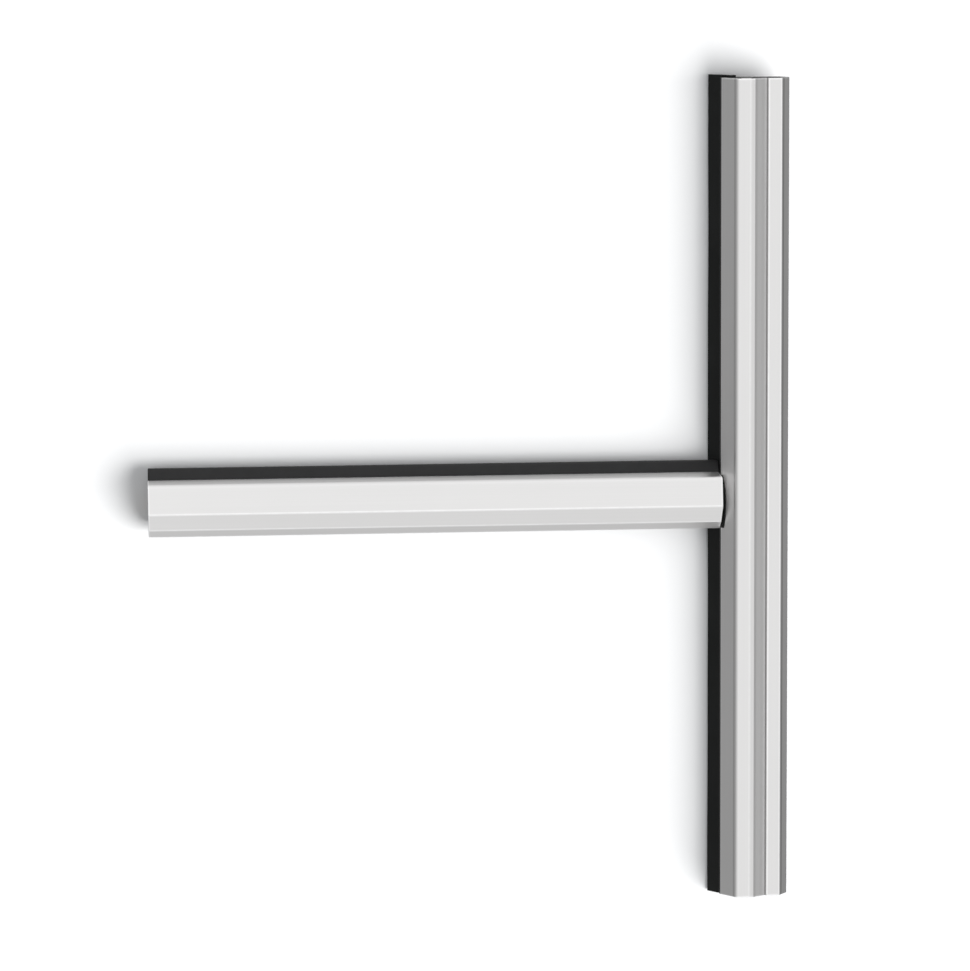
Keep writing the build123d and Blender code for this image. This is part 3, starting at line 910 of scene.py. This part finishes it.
class SQUEEGEE_OT_blade(bpy.types.Operator):
    """Makes the rubber blade, with a slight wave along its free edge"""

    bl_idname = "squeegee.blade"
    bl_label = "Rubber blade"

    def execute(self, context):
        outline, edges = rounded(BLADE_SECTION, steps=5)
        wave = context.scene.squeegee_sizes.blade_wave
        out = Vector((-math.cos(BLADE_ANGLE), 0, -math.sin(BLADE_ANGLE)))
        over = Vector((-math.sin(BLADE_ANGLE), 0, math.cos(BLADE_ANGLE)))
        bead = Vector((RIM_X + BEAD_X * MM, 0, BEAD_Z * MM))

        def place(along, across, at):
            free = max(0.0, (along / MM - JAW) / (BLADE_REACH - JAW)) ** 2
            sway = 0.6 * math.sin(at * 41 + 0.8) + 0.4 * math.sin(at * 97 + 2.1)  # turns in radians a metre
            point = bead + out * along + over * (across + wave * free * sway)
            point.z = max(point.z, 0.0)
            return Vector((point.x, at, point.z))

        mesh = bmesh.new()
        add_prism(mesh, outline, edges, spaced(blade_low.y, blade_high.y, 3 * MM), place, 0.06 * MM)
        finish_mesh("rubber_blade_finished", mesh, FINISHES["blade"], "blade", ["rubber_blade"])
        return {"FINISHED"}


class SQUEEGEE_OT_grip(bpy.types.Operator):
    """Makes the ribbed grip under the handle and the strip along its upper edge"""

    bl_idname = "squeegee.grip"
    bl_label = "Grip and strip"

    def execute(self, context):
        pitch = context.scene.squeegee_sizes.rib_pitch
        outline, edges = rounded(GRIP_SECTION)
        mesh = bmesh.new()
        add_prism(
            mesh,
            outline,
            edges,
            spaced(grip_low.x, grip_high.x, 12 * MM),
            lambda across, up, at: Vector((at, HANDLE_Y + across, up)),
            0.3 * MM,
        )
        rubber_finish = FINISHES["grip"]
        finish_mesh("grip_pad_finished", mesh, rubber_finish, "handle", ["grip_pad"])
        rib = rib_mesh(1.5 * MM, 12.6 * MM, (GRIP_FLOOR + 0.05) * MM)
        margin = 3.5 * MM  # from the grip's ends to the first and last rib
        count = int((grip_high.x - grip_low.x - 2 * margin) / pitch) + 1
        start = Vector(((grip_low.x + grip_high.x - (count - 1) * pitch) / 2, HANDLE_Y - 0.15 * MM, 0))
        ribs = row_of("grip_ribs", rib, count, start, (pitch, 0, 0), rubber_finish)
        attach(ribs, "handle")
        soften("grip_strip", rubber_finish, 0.18 * MM)
        return {"FINISHED"}


class SQUEEGEE_OT_mouldings(bpy.types.Operator):
    """Makes the moulded bodies inside the covers, the plugs, the end socket and the stop pad"""

    bl_idname = "squeegee.mouldings"
    bl_label = "Mouldings"

    def execute(self, context):
        radius = context.scene.squeegee_sizes.moulded_round
        for node in ("head_carrier", "handle_core", "end_socket"):
            soften(node, FINISHES["nylon"], radius)
        for node in ("head_end_plug_upper", "head_end_plug_lower"):
            soften(node, FINISHES["nylon"], 0.12 * MM)
        soften("tilt_stop_pad", FINISHES["blade"], 0.06 * MM)
        return {"FINISHED"}


class SQUEEGEE_OT_screws(bpy.types.Operator):
    """Makes the countersunk screws, in rows"""

    bl_idname = "squeegee.screws"
    bl_label = "Screws"

    def execute(self, context):
        head_radius = 2.55 * MM
        for node, way, count, body in (
            ("head_cover_screws", Vector((0, 1, 0)), 6, "root"),
            ("handle_core_screws", Vector((1, 0, 0)), 4, "handle"),
            ("end_socket_screw", Vector((1, 0, 0)), 1, "handle"),
        ):
            low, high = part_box(node)
            span = way.dot(high - low) - 2 * head_radius  # from the first screw's axis to the last one's
            start = (low + high) / 2 - way * span / 2
            start.z = low.z
            step = way * span / max(1, count - 1)
            unit = screw_mesh(high.z - low.z)
            row = row_of(f"{node}_finished", unit, count, start, step, FINISHES["steel"], 2 * math.pi)
            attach(row, body)
            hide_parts(node)
        return {"FINISHED"}


class SQUEEGEE_OT_hinge(bpy.types.Operator):
    """Finishes the hinge pin, bush and washers, the pinch screws and the socket's liner"""

    bl_idname = "squeegee.hinge"
    bl_label = "Hinge and liner"

    def execute(self, context):
        for node, finish, slot, radius in (
            ("hinge_pin", "steel", "stainless_steel", 0.08),
            ("hinge_bush", "bronze", "bronze", 0.06),
            ("hinge_washer_upper", "white_nylon", "white_nylon", 0.04),
            ("hinge_washer_lower", "white_nylon", "white_nylon", 0.04),
            ("blade_pinch_screws", "steel", "stainless_steel", 0.06),
            ("socket_liner", "bronze", "bronze", 0.08),
        ):
            soften(node, FINISHES[finish], radius * MM)
        return {"FINISHED"}


class SQUEEGEE_OT_studio(bpy.types.Operator):
    """Makes the floor, the light and the camera"""

    bl_idname = "squeegee.studio"
    bl_label = "Studio"

    def execute(self, context):
        scene = context.scene
        board = bpy.data.meshes.new("floor")
        board.from_pydata([(x * FLOOR_HALF, y * FLOOR_HALF, 0) for x, y in FLOOR_CORNERS], [], [(0, 1, 2, 3)])
        board.materials.append(studio_floor())
        floor = new_piece("floor", board)
        floor.location.z = -FLOOR_DROP
        floor.visible_glossy = False

        self.lamp("key", 4.7, 60, (0.88, -0.475, 0.754))
        self.lamp("fill", 0.75, 90, (-0.6, 0.7, 1.1))
        self.surround(scene)
        scene.view_settings.view_transform = "Standard"

        lens = bpy.data.cameras.new("camera")
        lens.lens, lens.sensor_width = CAMERA_LENS, SENSOR_WIDTH
        lens.clip_start, lens.clip_end = 0.05, 20.0
        camera = new_piece("camera", lens)
        camera.location = CAMERA_PLACE
        camera.rotation_euler = Euler([math.radians(angle) for angle in CAMERA_TURN])
        scene.camera = camera
        return {"FINISHED"}

    def lamp(self, name, power, width, way):
        """A broad, soft light, its width in degrees, that shines from a direction."""
        light = bpy.data.lights.new(name, "SUN")
        light.energy = power
        light.angle = math.radians(width)
        lamp = new_piece(name, light)
        lamp.rotation_euler = Vector(way).to_track_quat("Z", "Y").to_euler()
        lamp.visible_glossy = False

    def surround(self, scene):
        """A white surround, with a long overhead light in it for what the metal reflects."""
        scene.world = bpy.data.worlds.new("surround")
        scene.world.use_nodes = True
        scene.world.node_tree.nodes.clear()
        shader = Shader(scene.world.node_tree)
        way = shader.node("ShaderNodeTexCoord", output="Generated")
        x, y, z = shader.node("ShaderNodeSeparateXYZ", {}, {0: way}, ("X", "Y", "Z"))
        side = shader.node("ShaderNodeMath", {"operation": "ABSOLUTE"}, {0: x})
        largest, ways = {"operation": "MAXIMUM"}, (-1.0 * y, y, z)
        front, rear, above = (shader.node("ShaderNodeMath", largest, {0: each, 1: 0.0}) for each in ways)
        level = 0.78 + 0.22 * z + 0.07 * above**4 - 0.48 * side - 0.08 * front + 0.15 * rear
        reflected = shader.node("ShaderNodeBackground", {}, {"Color": level, "Strength": 1.04})
        diffuse = shader.node("ShaderNodeBackground", {}, {"Color": (0.95, 0.985, 1.02, 1), "Strength": 0.26})
        seen = shader.node("ShaderNodeBackground", {}, {"Color": grey(1.0), "Strength": 1.0})
        glossy_ray, camera_ray = shader.node("ShaderNodeLightPath", {}, {}, ("Is Glossy Ray", "Is Camera Ray"))
        lit = shader.node("ShaderNodeMixShader", {}, {0: glossy_ray, 1: diffuse, 2: reflected})
        final = shader.node("ShaderNodeMixShader", {}, {0: camera_ray, 1: lit, 2: seen})
        shader.node("ShaderNodeOutputWorld", {}, {"Surface": final})


class SQUEEGEE_PT_panel(bpy.types.Panel):
    """Lists the pieces and their settings"""

    bl_idname = "SQUEEGEE_PT_panel"
    bl_label = "Squeegee"
    bl_space_type = "VIEW_3D"
    bl_region_type = "UI"
    bl_category = "Squeegee"

    def draw(self, context):
        layout = self.layout
        for group in (context.scene.squeegee_sizes, context.scene.squeegee_finish):
            for name in group.bl_rna.properties.keys():
                if name not in ("rna_type", "name"):
                    layout.prop(group, name)
        for operator in OPERATORS:
            layout.operator(operator.bl_idname)


OPERATORS = (
    SQUEEGEE_OT_finishes,
    SQUEEGEE_OT_studio,
    SQUEEGEE_OT_head_cover,
    SQUEEGEE_OT_handle_cover,
    SQUEEGEE_OT_blade,
    SQUEEGEE_OT_grip,
    SQUEEGEE_OT_mouldings,
    SQUEEGEE_OT_screws,
    SQUEEGEE_OT_hinge,
)
CLASSES = (SqueegeeSizes, SqueegeeFinish, *OPERATORS, SQUEEGEE_PT_panel)


def register():
    for each in CLASSES:
        bpy.utils.register_class(each)
    bpy.types.Scene.squeegee_sizes = PointerProperty(type=SqueegeeSizes)
    bpy.types.Scene.squeegee_finish = PointerProperty(type=SqueegeeFinish)


def unregister():
    del bpy.types.Scene.squeegee_finish
    del bpy.types.Scene.squeegee_sizes
    for each in reversed(CLASSES):
        bpy.utils.unregister_class(each)


def main():
    """Registers the classes and runs every operator, which makes every piece."""
    register()
    for operator in OPERATORS:
        group, name = operator.bl_idname.split(".")
        getattr(getattr(bpy.ops, group), name)()


if __name__ == "__main__":
    main()
